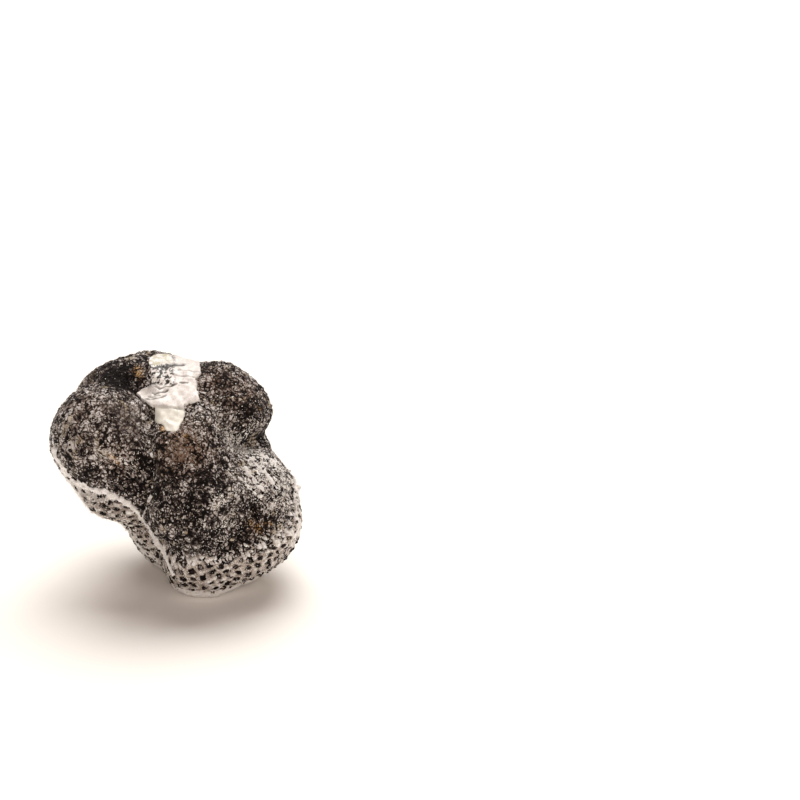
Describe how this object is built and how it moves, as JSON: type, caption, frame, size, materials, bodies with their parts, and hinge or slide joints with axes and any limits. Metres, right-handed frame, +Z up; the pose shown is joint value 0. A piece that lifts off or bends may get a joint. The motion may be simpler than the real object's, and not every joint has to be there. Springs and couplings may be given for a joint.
{
  "type": "truffle",
  "caption": "Whole frozen black truffle: a lobed, warted body with a crease down its front and a plate of ice in its saddle, resting on a small flat spot.",
  "frame": {"origin": "middle of the flat spot that the truffle rests on", "axes": "+Z up, -Y out of the creased front that the picture shows, +X to that view's right"},
  "size_m": [0.0443, 0.0434, 0.0412],
  "materials": {
    "truffle_skin": "dull black-brown fungus skin covered in low warts, frosted in the valleys and underneath",
    "ice": "opaque white ice and packed frost, satin, folded in low streaks"
  },
  "bodies": {
    "root": {"truffle": "truffle_skin", "ice_plate": "ice"}
  },
  "joints": []
}
